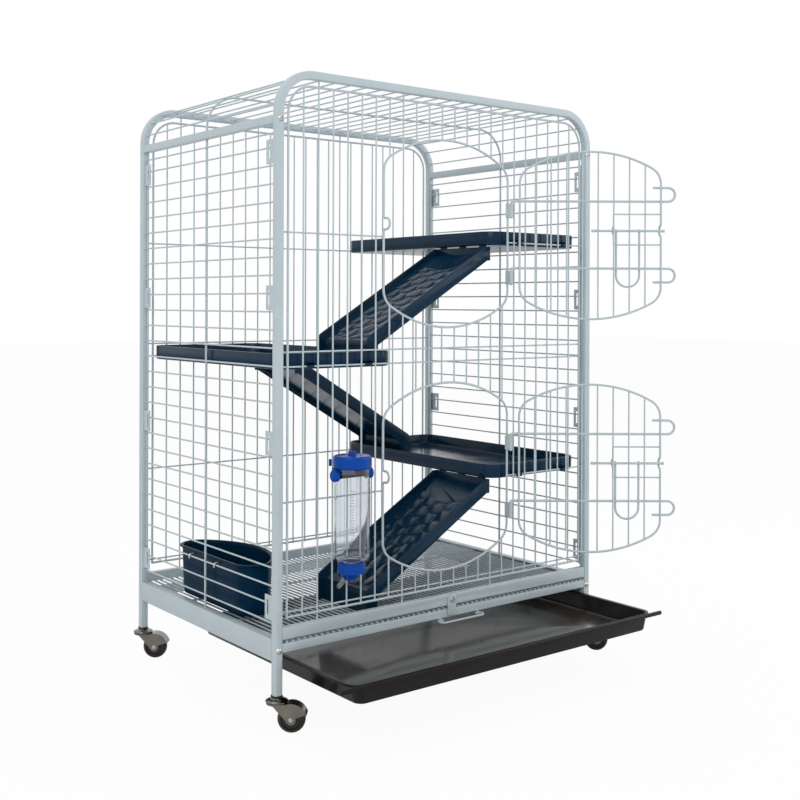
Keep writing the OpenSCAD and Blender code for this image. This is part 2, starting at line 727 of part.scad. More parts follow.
// door panel: edge wire with the rod's loop, uprights, hinge bars with hooks, rod guide
module door(z) {
    inner_n = 8;
    s_mid = door_s0 + door_a;
    color(frame_colour) at_door(z) {
        // edge wire: the crowns, the straight hinge side and the looped free side
        translate([-s_mid, door_n, door_rise]) {
            barrel_half(door_a, door_b, door_s, edge_d, 1, 0, door_s / 2);
            barrel_half(door_a, door_b, door_s, edge_d, -1, 0, door_s / 2);
            keeper(-door_a, -door_s / 2, door_s / 2, rod_z - door_rise, bump_out, bump_h, edge_d);
        }
        for (k = [1:inner_n]) {
            s = door_s0 + k * door_pitch;
            h = barrel_z(s - s_mid, door_a, door_b, door_s);
            rod(dp(s, -door_n + 0.4, door_rise - h), dp(s, -door_n + 0.4, door_rise + h), wire_d);
        }
        // bars: pin, bar and U hook in one wire
        for (i = [0, 1]) {
            hook_z = bar_z[i] + (i == 0 ? 2 : -2) * hook_r;
            bent_rod([dp(0, 0, bar_z[i] - pin_l), dp(0, 0, bar_z[i]), dp(hook_tip, 0, bar_z[i]),
                      dp(hook_tip, 0, hook_z), dp(hook_back, 0, hook_z)],
                     [3, hook_r - 0.05, hook_r - 0.05], bar_d);
        }
        // guide: two short cross wires and the loop that the rod runs through
        guide_n = -door_n + 0.4 + wire_d - weld;
        for (g = guide_z) rod(dp(guide_s - 1, guide_n, g), dp(door_s1, guide_n, g), wire_d);
        translate([-guide_s, -guide_n, 0])
            keeper(0, guide_z[1], guide_z[0], rod_z, bump_out - guide_n - door_n, 6, wire_d);
    }
}

// two sheet clips round the ring's upright and the door's pins
module door_clips(z) {
    r_in = bar_d / 2 + pin_clearance;
    gap = hinge_out + post_mid;
    color(frame_colour) translate([hinge_x, hinge_y, z]) for (h = bar_z) translate([0, 0, h - clip_h - 4])
        linear_extrude(clip_h) difference() {
            union() {
                circle(r = r_in + clip_t);
                translate([0, gap]) circle(r = r_in + clip_t);
                translate([-r_in - clip_t, 0]) square([2 * (r_in + clip_t), gap]);
            }
            circle(r = r_in);
            translate([0, gap]) circle(r = r_in);
            translate([-r_in + 0.5, 0]) square([2 * r_in - 1, gap]);
        }
}

// bolt: rod with thick ends and a U handle
module door_bolt(z) {
    thick = bar_d + 0.8;
    color(frame_colour) at_door(z) {
        rod(dp(rod_s0, rod_n, rod_z), dp(rod_s1, rod_n, rod_z), bar_d);
        rod(dp(rod_s0 + 1, rod_n, rod_z), dp(rod_s0 + 7, rod_n, rod_z), thick);
        rod(dp(rod_s1 - 3, rod_n, rod_z), dp(rod_s1 + 1, rod_n, rod_z), thick);
        bent_rod([dp(handle_s[0], handle_n, rod_z + 3), dp(handle_s[0], handle_n, handle_z0),
                  dp(handle_s[1], handle_n, handle_z0), dp(handle_s[1], handle_n, rod_z + 3)],
                 [18.9, 18.9], handle_d);
    }
}

module upper_door() { door(upper_door_z); }
module upper_door_clips() { door_clips(upper_door_z); }
module upper_door_bolt() { door_bolt(upper_door_z); }
module lower_door() { door(lower_door_z); }
module lower_door_clips() { door_clips(lower_door_z); }
module lower_door_bolt() { door_bolt(lower_door_z); }

// ---- shelves and ramps ----

module rounded(w, d, r) {
    square([w - 2 * r, d], center = true);
    square([w, d - 2 * r], center = true);
    for (x = [-1, 1], y = [-1, 1]) translate([x * (w / 2 - r), y * (d / 2 - r)]) circle(r = r);
}

// moulded tray at the right side, with hooks over the front and back cross wires, and slots and
// pockets for a ramp's tabs
module shelf(wire_z) {
    z0 = wire_z - shelf_under;
    wire_y = panel_y - cross_in;
    hook_top = wire_z + wire_d / 2 + seat;
    hook_t = 4;
    tongue_y = wire_y + wire_d / 2 + 0.4;
    tongue_t = 2.5;
    slot_gap = 0.6;
    difference() {
        translate([shelf_mid, 0, z0]) linear_extrude(shelf_h) rounded(shelf_w, 2 * shelf_y, shelf_r);
        translate([shelf_mid, 0, z0 + shelf_wall]) linear_extrude(shelf_h)
            rounded(shelf_w - 2 * shelf_wall, 2 * (shelf_y - shelf_wall), shelf_r - shelf_wall);
        for (y = tabs_y) translate([ramp_edge + tab_in, ramp_y_mid + y, z0]) {
            translate([tab_t / 2, 0, 0])
                cube([tab_t + slot_gap, tab_w + slot_gap, 4 * shelf_wall], center = true);
            translate([-tab_hook_l - pocket_gap, -tab_w / 2 - pocket_gap, shelf_wall - pocket_deep])
                cube([tab_t + tab_hook_l + 2 * pocket_gap, tab_w + 2 * pocket_gap, shelf_wall]);
        }
    }
    for (g = hook_gaps, s = [-1, 1]) mirror([0, s > 0 ? 0 : 1, 0]) {
        x = edge_x - g * pitch_x - hook_w / 2;
        translate([x, shelf_y - 1, hook_top]) cube([hook_w, tongue_y + tongue_t - shelf_y + 1, hook_t]);
        translate([x, tongue_y, z0 + 1]) cube([hook_w, tongue_t, hook_top + hook_t - z0 - 1]);
    }
}

module top_shelf() { color(navy) shelf(top_wire_z); }
module middle_shelf() { color(navy) rotate(180) shelf(middle_wire_z); }
module lower_shelf() { color(navy) shelf(lower_wire_z); }

// the space under a ramp's slope and inside its end, set in from its rims' edge by inset;
// s runs away from the shelf's edge, z down from the shelf's underside
module under_slope(inset, drop) {
    slope = ramp_slope;
    back_s = -tab_in - tab_t - (inset > ramp_rim ? 1 : 0);
    top_z = -ramp_gap - inset / cos(slope);
    knee = [ramp_l - inset, top_z - (ramp_l - inset) * tan(slope)];
    r = max(2, knee_r - inset);
    leg = r * tan((90 - slope) / 2);
    flat_s = (top_z + ramp_gap + inset) / tan(slope);
    polygon([[back_s, -ramp_gap - inset], [flat_s, -ramp_gap - inset],
             knee + leg * [-cos(slope), sin(slope)], knee - [0, leg], [knee[0], -drop], [back_s, -drop]]);
    translate(knee - [r, leg]) circle(r = r);
}

// raised tiles of the tread, staggered from column to column, between two curved edges; X runs
// down the slope
module tread_tiles() {
    across = (ramp_w - 2 * ramp_wall - 2 * tile_margin) / tile_columns;
    foot = (ramp_l - ramp_rim) / cos(ramp_slope) - zone_end;
    difference() {
        for (c = [0:tile_columns - 1], k = [0:floor(foot / tile_pitch)])
            translate([(k + 0.5 * (c % 2)) * tile_pitch, (c - (tile_columns - 1) / 2) * across])
                rounded(tile_pitch - tile_gap, across - tile_gap, tile_r);
        translate([zone_top - zone_r, 0]) circle(r = zone_r);
        difference() {
            translate([foot - zone_r, -ramp_w]) square([3 * zone_r, 2 * ramp_w]);
            translate([foot - zone_r, 0]) circle(r = zone_r);
        }
    }
}

// ramp: tiled tread between side walls, an end wall that stands on the level below, and hooked tabs on top
module ramp(wire_z, landing_z) {
    z0 = wire_z - shelf_under;
    drop = z0 - landing_z - seat;
    tab_top = shelf_wall - pocket_deep + seat;
    tab_z0 = -ramp_gap - ramp_rim - 1;
    translate([ramp_edge, ramp_y_mid, z0]) mirror([1, 0, 0]) {
        rotate([90, 0, 0]) {
            // side walls
            for (z = [-ramp_w / 2, ramp_w / 2 - ramp_wall]) translate([0, 0, z]) linear_extrude(ramp_wall)
                difference() {
                    under_slope(0, drop);
                    under_slope(ramp_side, drop + 1);
                }
            // tread and end wall
            translate([0, 0, -ramp_w / 2 + 1]) linear_extrude(ramp_w - 2) difference() {
                under_slope(ramp_rim, drop);
                under_slope(ramp_rim + ramp_wall, drop + 1);
            }
        }
        translate([0, 0, -ramp_gap - ramp_rim / cos(ramp_slope)]) rotate([0, ramp_slope, 0])
            translate([0, 0, -tile_sunk]) linear_extrude(tile_sunk + tile_h) tread_tiles();
        // tabs up through the shelf's slots, with hooks in its floor's pockets
        for (y = tabs_y) translate([-tab_in - tab_t, y - tab_w / 2, 0]) {
            translate([0, 0, tab_z0]) cube([tab_t, tab_w, tab_top + tab_hook_t - tab_z0]);
            translate([0, 0, tab_top]) cube([tab_t + tab_hook_l, tab_w, tab_hook_t]);
        }
    }
}

module upper_ramp() { color(navy) ramp(top_wire_z, middle_wire_z + floor_rise); }
module middle_ramp() { color(navy) rotate(180) ramp(middle_wire_z, lower_wire_z + floor_rise); }
module lower_ramp() { color(navy) ramp(lower_wire_z, grate_z + grate_d / 2); }

// ---- bowl ----

// upright cone from r0 at z0 to r1 at z1, cut flat at x along the panel
module flat_cone(x, z0, r0, z1, r1) {
    difference() {
        translate([bowl_x0 + bowl_depth - bowl_r, bowl_y, z0]) cylinder(h = z1 - z0, r1 = r0, r2 = r1);
        translate([x - 3 * bowl_r, bowl_y - 2 * bowl_r, z0 - 1])
            cube([3 * bowl_r, 4 * bowl_r, z1 - z0 + 2]);
    }
}

// bowl with one flat side, a rim and two holes for its hook bolts
module bowl() {
    rim_out = 4;
    rim_t = 3;
    z0 = bowl_top - bowl_h;
    foot_r = bowl_r - bowl_slope;
    color(navy) difference() {
        union() {
            flat_cone(bowl_x0, z0, foot_r, bowl_top, bowl_r);
            flat_cone(bowl_x0 - rim_out, bowl_top - rim_t, bowl_r + rim_out, bowl_top, bowl_r + rim_out);
        }
        flat_cone(bowl_x0 + bowl_wall, z0 + bowl_wall, foot_r - bowl_wall,
                  bowl_top + 0.1, bowl_r - bowl_wall);
        for (y = bowl_bolts) translate([bowl_x0 - rim_out - 1, bowl_y + y, bowl_bolt_z]) rotate([0, 90, 0])
            cylinder(h = 12, d = hook_bolt_d + 0.1);
    }
}

// hook bolts that hang the bowl on a wire of the left panel: hook outside, nut inside
module bowl_fixings() {
    wire_x = -side_x;
    r = wire_d / 2 + seat + hook_bolt_d / 2;
    color(zinc) for (y = bowl_bolts) translate([0, bowl_y + y, 0]) {
        bent_rod([[bowl_x0 + bowl_wall + 5, 0, bowl_bolt_z], [wire_x - r, 0, bowl_bolt_z],
                  [wire_x - r, 0, bowl_bolt_z - 2 * r]], [r - 0.1], hook_bolt_d);
        translate([bowl_x0 + bowl_wall + seat, 0, bowl_bolt_z]) rotate([0, 90, 0])
            cylinder(h = 3, d = 8, $fn = 6);
    }
}

// ---- bottle ----

// the bottle's outline turned round its axis, set in by in; low lengthens its neck
module bottle_form(in, low) {
    top = bottle_z1 + bottle_top_in - in;
    r = bottle_d / 2 - in;
    neck = neck_r - in;
    rotate_extrude() polygon([[0, neck_z0 - low], [neck, neck_z0 - low], [neck, bottle_z0 - 1.7 + in],
                              [r - 3, bottle_z0 + in], [r, bottle_z0 + 4 + in], [r, top], [0, top]]);
}

module bottle_body() {
    color([0.9, 0.93, 0.95, 0.4]) translate([bottle_x, bottle_y, 0]) difference() {
        bottle_form(0, 0);
        bottle_form(bottle_wall, 1);
    }
}

// cap on the bottle's upper end, wider than the clip that it rests on, with a fin to grip
module bottle_top_cap() {
    color(cap_blue) translate([bottle_x, bottle_y, 0]) difference() {
        union() {
            translate([0, 0, bottle_z1]) cylinder(h = cap_h - 2, r = cap_r);
            translate([0, 0, bottle_z1 + cap_h - 2]) cylinder(h = 2, r1 = cap_r, r2 = cap_r - 2);
            translate([-2, -8, bottle_z1 + cap_h - 1]) cube([4, 16, 7]);
        }
        translate([0, 0, bottle_z1 - 1]) cylinder(h = bottle_top_in + 1 + seat, r = bottle_d / 2 + 0.1);
    }
}

// places a spout piece: from the lower cap's middle down and into the cage
module along_spout() {
    translate([0, 0, lower_cap_z + 4]) rotate([180 + spout_tilt, 0, 0]) children();
}

// screw cap on the neck, with a cone below it and the slanted socket of the spout
module bottle_lower_cap() {
    color(cap_blue) translate([bottle_x, bottle_y, 0]) difference() {
        union() {
            translate([0, 0, lower_cap_z]) cylinder(h = lower_cap_h, r = lower_cap_r);
            translate([0, 0, lower_cap_z - nozzle_h]) cylinder(h = nozzle_h + 1, r1 = 7, r2 = 11);
            along_spout() cylinder(h = socket_l, r1 = 7.5, r2 = 5.5);
        }
        translate([0, 0, neck_z0 - seat]) cylinder(h = 40, r = neck_r + 0.1);
        along_spout() cylinder(h = socket_l + 5, d = spout_d + 0.1);
    }
}

// steel tube with a narrowed mouth that holds the ball
module bottle_spout() {
    bore = ball_r + 0.15;
    color(zinc) translate([bottle_x, bottle_y, 0]) along_spout()
        rotate_extrude() polygon([[bore, 6], [spout_d / 2, 6], [spout_d / 2, spout_l - 2],
                                  [ball_r, spout_l], [ball_r - 0.6, spout_l], [bore, spout_l - 2]]);
}

module bottle_ball() {
    color(zinc) translate([bottle_x, bottle_y, 0]) along_spout()
        translate([0, 0, spout_l - 2.4]) sphere(r = ball_r);
}

// half ring behind the bottle with a boss at each end, clamped on two uprights of the panel
module bottle_holder() {
    ring_h = bottle_z1 - seat - clip_z0;
    boss_z = bottle_z1 - seat - boss_r - 0.5;
    key_w = 16;
    key_z = bottle_z1 + 5;
    tab_y = cap_r + seat;
    out_y = clip_r + clip_w;
    in_y = out_y + wire_d + 2 * seat;
    color(cap_blue) translate([bottle_x, bottle_y, 0]) {
        translate([0, 0, clip_z0]) rotate_extrude(angle = 180)
            translate([clip_r, 0]) square([clip_w, ring_h]);
        for (a = [0, 180]) rotate(a) translate([clip_r, 0, boss_z]) rotate([0, 90, 0]) {
            cylinder(h = 7, r = boss_r);
            translate([0, 0, 6]) cylinder(h = 2.5, r1 = boss_r - 1, r2 = boss_r - 3);
        }
        // tab behind the cap, key between the uprights and clamp plate on their inside
        translate([-key_w / 2, tab_y, clip_z0]) cube([key_w, out_y - tab_y, key_z + 8 - clip_z0]);
        translate([-key_w / 2, out_y - 0.5, key_z - 4]) cube([key_w, in_y - out_y + 1, 8]);
        translate([-17, in_y, key_z - 5]) cube([34, 2.5, 10]);
    }
}

// ---- casters ----

module at_post(p) { translate([p[0] * side_x, p[1] * panel_y, 0]) children(); }

// black plug in each post with a square collar under its end
module post_inserts() {
    fit = tube - 2 * tube_wall - 0.2;
    color(black) for (p = posts) at_post(p) difference() {
        union() {
            translate([0, 0, collar_z]) square_bar(tube + 0.6, post_z - collar_z);
            translate([0, 0, collar_z]) square_bar(fit, plug_l);
        }
        translate([0, 0, collar_z - 1]) cylinder(h = plug_l + 2, d = stem_d + 0.1);
    }
}

// stem with the cup of the upper race, and the rivet head that holds the fork
module caster_stems() {
    race_r = 16;
    edge = 1;
    color(zinc) for (p = posts) at_post(p) {
        translate([0, 0, race_z]) rotate_extrude() polygon([[0, 0], [race_r - edge, 0], [race_r, edge],
            [race_r, 2.2], [race_r - 2.5, 3.6], [9, 5], [8, race_h], [0, race_h]]);
        translate([0, 0, race_z + race_h - 0.5])
            cylinder(h = collar_z + plug_l - race_z - race_h - 1, d = stem_d);
        translate([0, 0, fork_z - seat - rivet_h]) cylinder(h = rivet_h, r = rivet_r);
        translate([0, 0, fork_z - seat - 0.5]) cylinder(h = race_z - fork_z + 1.3, d = pivot_d);
    }
}

// places a piece on a wheel's middle
module at_caster(p) { at_post(p) rotate(trail_angle) translate([trail, 0, wheel_z]) children(); }

// pressed steel fork: lower race on top, a hood over the wheel and two cheeks down to the axle
module fork(p) {
    cheek = wheel_w / 2 + 0.5;
    hood_w = 2 * (cheek + fork_t + 0.3);
    wedge = [hood_a[0] + 4, 60, hood_a[1] - 4];
    color(zinc) at_post(p) rotate(trail_angle) difference() {
        union() {
            translate([0, 0, fork_z]) cylinder(h = race_z - fork_z - seat, r = 15);
            for (y = [-cheek, cheek + fork_t]) translate([0, y, 0]) rotate([90, 0, 0])
                linear_extrude(fork_t) {
                polygon([[-7, fork_z + 1], [13, fork_z + 1],
                         [trail + 5.6, wheel_z + 2.9], [trail - 5, wheel_z - 3.9]]);
                translate([trail, wheel_z]) {
                    circle(r = 7);
                    intersection() {
                        circle(r = hood_r - 0.5);
                        polygon([[0, 0], for (a = wedge) 2 * hood_r * [cos(a), sin(a)]]);
                    }
                }
            }
            translate([trail, 0, wheel_z]) rotate([90, -hood_a[0], 0]) translate([0, 0, -hood_w / 2])
                rotate_extrude(angle = hood_a[1] - hood_a[0])
                    translate([hood_r - fork_t, 0]) square([fork_t, hood_w]);
        }
        translate([0, 0, fork_z - 1]) cylinder(h = race_z - fork_z + 1, d = pivot_d + 0.1);
        translate([trail, wheel_w, wheel_z]) rotate([90, 0, 0]) cylinder(h = 2 * wheel_w, d = axle_d + 0.1);
    }
}

// wheel with a rounded tread, dished sides and a hub
module wheel(p) {
    r = wheel_d / 2;
    h = wheel_w / 2;
    half = concat([for (a = [0:15:75]) [r - 4 + 4 * cos(a), (h - 1) * sin(a)]],
                  [[r - 4, h], [r - 6, h], [r - 7, h - 2], [7, h - 2], [6, h], [0, h]]);
    other = [for (i = [len(half) - 1:-1:1]) [half[i][0], -half[i][1]]];
    color(black) at_caster(p) rotate([90, 0, 0]) difference() {
        rotate_extrude() polygon(concat(half, other));
        translate([0, 0, -wheel_w]) cylinder(h = 2 * wheel_w, d = axle_d + 0.1);
    }
}

// rivet through the cheeks and the wheel
module axle(p) {
    half = wheel_w / 2 + 0.5 + fork_t + 0.1;
    color(zinc) at_caster(p) rotate([90, 0, 0]) {
        translate([0, 0, -half - 0.5]) cylinder(h = 2 * half + 1, d = axle_d);
        for (a = [0, 180]) rotate([a, 0, 0]) translate([0, 0, half]) cylinder(h = 1.2, r1 = 3.6, r2 = 2.6);
    }
}

module front_left_fork() { fork(posts[0]); }
module front_left_wheel() { wheel(posts[0]); }
module front_left_axle() { axle(posts[0]); }
module front_right_fork() { fork(posts[1]); }
module front_right_wheel() { wheel(posts[1]); }
module front_right_axle() { axle(posts[1]); }
module rear_left_fork() { fork(posts[2]); }
module rear_left_wheel() { wheel(posts[2]); }
module rear_left_axle() { axle(posts[2]); }
module rear_right_fork() { fork(posts[3]); }
module rear_right_wheel() { wheel(posts[3]); }
module rear_right_axle() { axle(posts[3]); }

front_hoop();
rear_hoop();
front_panel();
back_panel();
left_panel();
right_panel();
top_grille();
left_top_rail();
right_top_rail();
left_base_plate();
right_base_plate();
front_upper_rail();
front_lower_rail();
rear_upper_rail();
rear_lower_rail();
panel_tabs();
frame_bolts();
floor_grate();
tray();
grate_latch();
latch_screw();
tray_bail();
upper_door();
upper_door_clips();
upper_door_bolt();
lower_door();
lower_door_clips();
lower_door_bolt();
top_shelf();
middle_shelf();
lower_shelf();
upper_ramp();
middle_ramp();
lower_ramp();
bowl();
bowl_fixings();
bottle_body();
bottle_top_cap();
bottle_lower_cap();
bottle_spout();
bottle_ball();
bottle_holder();
post_inserts();
caster_stems();
front_left_fork();
front_left_wheel();
front_left_axle();
front_right_fork();
front_right_wheel();
front_right_axle();
rear_left_fork();
rear_left_wheel();
rear_left_axle();
rear_right_fork();
rear_right_wheel();
rear_right_axle();
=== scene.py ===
import math

import bmesh
import bpy
from mathutils import Matrix, Vector


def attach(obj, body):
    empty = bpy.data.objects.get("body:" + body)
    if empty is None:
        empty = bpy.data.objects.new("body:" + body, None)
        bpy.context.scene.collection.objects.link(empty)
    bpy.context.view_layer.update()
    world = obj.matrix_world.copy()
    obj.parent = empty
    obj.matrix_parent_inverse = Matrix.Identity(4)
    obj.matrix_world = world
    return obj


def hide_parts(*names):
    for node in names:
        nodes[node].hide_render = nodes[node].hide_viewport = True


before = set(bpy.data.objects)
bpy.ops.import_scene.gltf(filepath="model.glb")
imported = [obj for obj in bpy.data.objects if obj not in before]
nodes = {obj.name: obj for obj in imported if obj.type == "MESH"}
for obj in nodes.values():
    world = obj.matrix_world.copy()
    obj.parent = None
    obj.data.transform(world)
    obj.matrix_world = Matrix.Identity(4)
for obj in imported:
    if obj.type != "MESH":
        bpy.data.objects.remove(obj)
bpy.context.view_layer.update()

# ---- picture, lamps and floor ----
# The lens stands level in front of the cage's left corner. The picture is framed below its axis.
# Large soft lamps and a white room light the cage, and the floor is plain and pale.
lens = bpy.data.cameras.new("lens")
lens.sensor_width = 36
lens.lens = 51.34
lens.shift_y = -0.1209
camera = bpy.data.objects.new("camera", lens)
camera.matrix_world = (Matrix.Translation((-1.1678, -1.5835, 0.6035))
                       @ Matrix.Rotation(math.radians(-38.04), 4, "Z")
                       @ Matrix.Rotation(math.radians(90), 4, "X")
                       @ Matrix.Rotation(math.radians(0.19), 4, "Z"))
bpy.context.scene.collection.objects.link(camera)
bpy.context.scene.camera = camera
bpy.context.scene.view_settings.view_transform = "Standard"


def soft_lamp(name, place, aim, size, watts):
    light = bpy.data.lights.new(name, "AREA")
    light.size = size
    light.energy = watts
    lamp = bpy.data.objects.new(name, light)
    lamp.location = place
    lamp.rotation_euler = (Vector(aim) - Vector(place)).to_track_quat("-Z", "Y").to_euler()
    lamp.visible_camera = False
    bpy.context.scene.collection.objects.link(lamp)


soft_lamp("key_lamp", (-2.4, -2.1, 2.2), (0, 0, 0.5), 1.8, 25)
soft_lamp("top_lamp", (0.3, 0.4, 2.8), (0, 0, 0.4), 2.2, 14)
soft_lamp("side_lamp", (2.2, -1.6, 1.4), (0, 0, 0.5), 1.6, 11)

room = bpy.data.worlds.new("room")
room.use_nodes = True
bpy.context.scene.world = room
wires = room.node_tree
wires.nodes.clear()
join = wires.links.new
path = wires.nodes.new("ShaderNodeLightPath")
seen = wires.nodes.new("ShaderNodeMath")
seen.operation = "MAXIMUM"
seen_glossy = wires.nodes.new("ShaderNodeMath")
seen_glossy.operation = "MAXIMUM"
join(path.outputs["Is Camera Ray"], seen.inputs[0])
join(path.outputs["Is Transmission Ray"], seen.inputs[1])
join(seen.outputs[0], seen_glossy.inputs[0])
join(path.outputs["Is Glossy Ray"], seen_glossy.inputs[1])
lights = {}
for kind, strength in (("soft", 0.62), ("white", 1)):
    lights[kind] = wires.nodes.new("ShaderNodeBackground")
    lights[kind].inputs["Color"].default_value = (1, 1, 1, 1)
    lights[kind].inputs["Strength"].default_value = strength
either = wires.nodes.new("ShaderNodeMixShader")
out = wires.nodes.new("ShaderNodeOutputWorld")
join(seen_glossy.outputs[0], either.inputs[0])
join(lights["soft"].outputs[0], either.inputs[1])
join(lights["white"].outputs[0], either.inputs[2])
join(either.outputs[0], out.inputs[0])

floor_mesh = bpy.data.meshes.new("floor")
floor_mesh.from_pydata([(-15, -15, 0), (15, -15, 0), (15, 15, 0), (-15, 15, 0)], [], [(0, 1, 2, 3)])
floor = bpy.data.objects.new("floor", floor_mesh)
bpy.context.scene.collection.objects.link(floor)
pale = bpy.data.materials.new("pale_floor")
pale.use_nodes = True
wires = pale.node_tree
wires.nodes.clear()
path = wires.nodes.new("ShaderNodeLightPath")
share = wires.nodes.new("ShaderNodeMath")
share.operation = "MULTIPLY"
share.inputs[1].default_value = 0.95
matt = wires.nodes.new("ShaderNodeBsdfDiffuse")
matt.inputs["Color"].default_value = (0.95, 0.95, 0.95, 1)
glow = wires.nodes.new("ShaderNodeEmission")
either = wires.nodes.new("ShaderNodeMixShader")
out = wires.nodes.new("ShaderNodeOutputMaterial")
wires.links.new(path.outputs["Is Camera Ray"], share.inputs[0])
wires.links.new(share.outputs[0], either.inputs[0])
wires.links.new(matt.outputs[0], either.inputs[1])
wires.links.new(glow.outputs[0], either.inputs[2])
wires.links.new(either.outputs[0], out.inputs[0])
floor_mesh.materials.append(pale)

# ---- hoops ----
# Two inverted U frames of square steel tube, bent cold round a former and powder coated in a
# pale grey blue. Their legs are the cage's four posts.
mm = 0.001


def paint(red, green, blue):
    """Linear colour of a paint given as it looks, 0 to 255."""
    return tuple((v / 255 / 12.92) if v <= 10 else ((v / 255 + 0.055) / 1.055) ** 2.4
                 for v in (red, green, blue)) + (1,)


def coating(name, colour, rough, metal=0.0, grain=0.8, relief=0.1, mottle=0.04, rough_spread=0.06,
            shine=0.5):
    """A material whose colour, gloss and fine relief vary over the piece; grain is in mm."""
    material = bpy.data.materials.new(name)
    material.use_nodes = True
    wires = material.node_tree
    skin = wires.nodes["Principled BSDF"]
    skin.inputs["Metallic"].default_value = metal
    skin.inputs["Specular IOR Level"].default_value = shine
    place = wires.nodes.new("ShaderNodeTexCoord")
    fine = wires.nodes.new("ShaderNodeTexNoise")
    fine.inputs["Scale"].default_value = 1 / (grain * mm)
    fine.inputs["Detail"].default_value = 2
    broad = wires.nodes.new("ShaderNodeTexNoise")
    broad.inputs["Scale"].default_value = 28
    broad.inputs["Detail"].default_value = 3
    shade = wires.nodes.new("ShaderNodeMapRange")
    shade.inputs["From Min"].default_value = 0.3
    shade.inputs["From Max"].default_value = 0.7
    shade.inputs["To Min"].default_value = 1 - mottle
    shade.inputs["To Max"].default_value = 1 + mottle
    tint = wires.nodes.new("ShaderNodeMix")
    tint.data_type = "RGBA"
    tint.blend_type = "MULTIPLY"
    tint.inputs["Factor"].default_value = 1
    tint.inputs["A"].default_value = colour
    gloss = wires.nodes.new("ShaderNodeMapRange")
    gloss.inputs["From Min"].default_value = 0.25
    gloss.inputs["From Max"].default_value = 0.75
    gloss.inputs["To Min"].default_value = max(0.02, rough - rough_spread)
    gloss.inputs["To Max"].default_value = rough + rough_spread
    bump = wires.nodes.new("ShaderNodeBump")
    bump.inputs["Strength"].default_value = relief
    bump.inputs["Distance"].default_value = 0.0003
    join = wires.links.new
    join(place.outputs["Object"], fine.inputs["Vector"])
    join(place.outputs["Object"], broad.inputs["Vector"])
    join(broad.outputs["Fac"], shade.inputs["Value"])
    join(shade.outputs[0], tint.inputs["B"])
    join(tint.outputs["Result"], skin.inputs["Base Color"])
    join(broad.outputs["Fac"], gloss.inputs["Value"])
    join(gloss.outputs[0], skin.inputs["Roughness"])
    join(fine.outputs["Fac"], bump.inputs["Height"])
    join(bump.outputs[0], skin.inputs["Normal"])
    return material


powder_coat = coating("powder_coat", paint(190, 204, 209), 0.36, grain=1.1, relief=0.12, mottle=0.03)


def new_tree(name, material, **sizes):
    """An empty shape tree with named inputs; returns it, its ends and a way to add a step."""
    tree = bpy.data.node_groups.new(name, "GeometryNodeTree")
    tree.interface.new_socket("Start", in_out="INPUT", socket_type="NodeSocketGeometry")
    for label, value in sizes.items():
        kind = "NodeSocketInt" if isinstance(value, int) else "NodeSocketFloat"
        tree.interface.new_socket(label, in_out="INPUT", socket_type=kind).default_value = value
    tree.interface.new_socket("Piece", in_out="OUTPUT", socket_type="NodeSocketGeometry")
    given = tree.nodes.new("NodeGroupInput")
    made = tree.nodes.new("NodeGroupOutput")
    solid = tree.nodes.new("GeometryNodeRealizeInstances")
    smooth = tree.nodes.new("GeometryNodeSetShadeSmooth")
    coat = tree.nodes.new("GeometryNodeSetMaterial")
    coat.inputs["Material"].default_value = material
    tree.links.new(solid.outputs[0], smooth.inputs[0])
    tree.links.new(smooth.outputs[0], coat.inputs["Geometry"])
    tree.links.new(coat.outputs[0], made.inputs[0])
    return tree, given, solid


def points_mesh(points, edges=()):
    mesh = bpy.data.meshes.new("path")
    mesh.from_pydata([Vector(p) * mm for p in points], edges, [])
    host = bpy.data.objects.new("path", mesh)
    bpy.context.scene.collection.objects.link(host)
    return host


def grown(name, host, tree, **sizes):
    """The tree's shape on the host's points, as a plain mesh piece."""
    step = host.modifiers.new("shape", "NODES")
    step.node_group = tree
    for item in tree.interface.items_tree:
        if item.in_out == "INPUT" and item.name in sizes:
            step[item.identifier] = sizes[item.name]
    host.update_tag()
    seen_host = host.evaluated_get(bpy.context.evaluated_depsgraph_get())
    mesh = bpy.data.meshes.new_from_object(seen_host)
    bpy.data.objects.remove(host)
    piece = bpy.data.objects.new(name, mesh)
    bpy.context.scene.collection.objects.link(piece)
    return piece


tube_tree, given, solid = new_tree("square_tube", powder_coat, Side=0.012, Corner=0.0016)
line = tube_tree.nodes.new("GeometryNodeMeshToCurve")
square = tube_tree.nodes.new("GeometryNodeCurvePrimitiveQuadrilateral")
eased_square = tube_tree.nodes.new("GeometryNodeFilletCurve")
swept = tube_tree.nodes.new("GeometryNodeCurveToMesh")
swept.inputs["Fill Caps"].default_value = True
join = tube_tree.links.new
join(given.outputs["Start"], line.inputs[0])
join(given.outputs["Side"], square.inputs["Width"])
join(given.outputs["Side"], square.inputs["Height"])
join(square.outputs[0], eased_square.inputs["Curve"])
join(given.outputs["Corner"], eased_square.inputs["Radius"])
eased_square.mode = "POLY"
eased_square.inputs["Count"].default_value = 3
join(line.outputs[0], swept.inputs["Curve"])
join(eased_square.outputs[0], swept.inputs["Profile Curve"])
join(swept.outputs[0], solid.inputs[0])

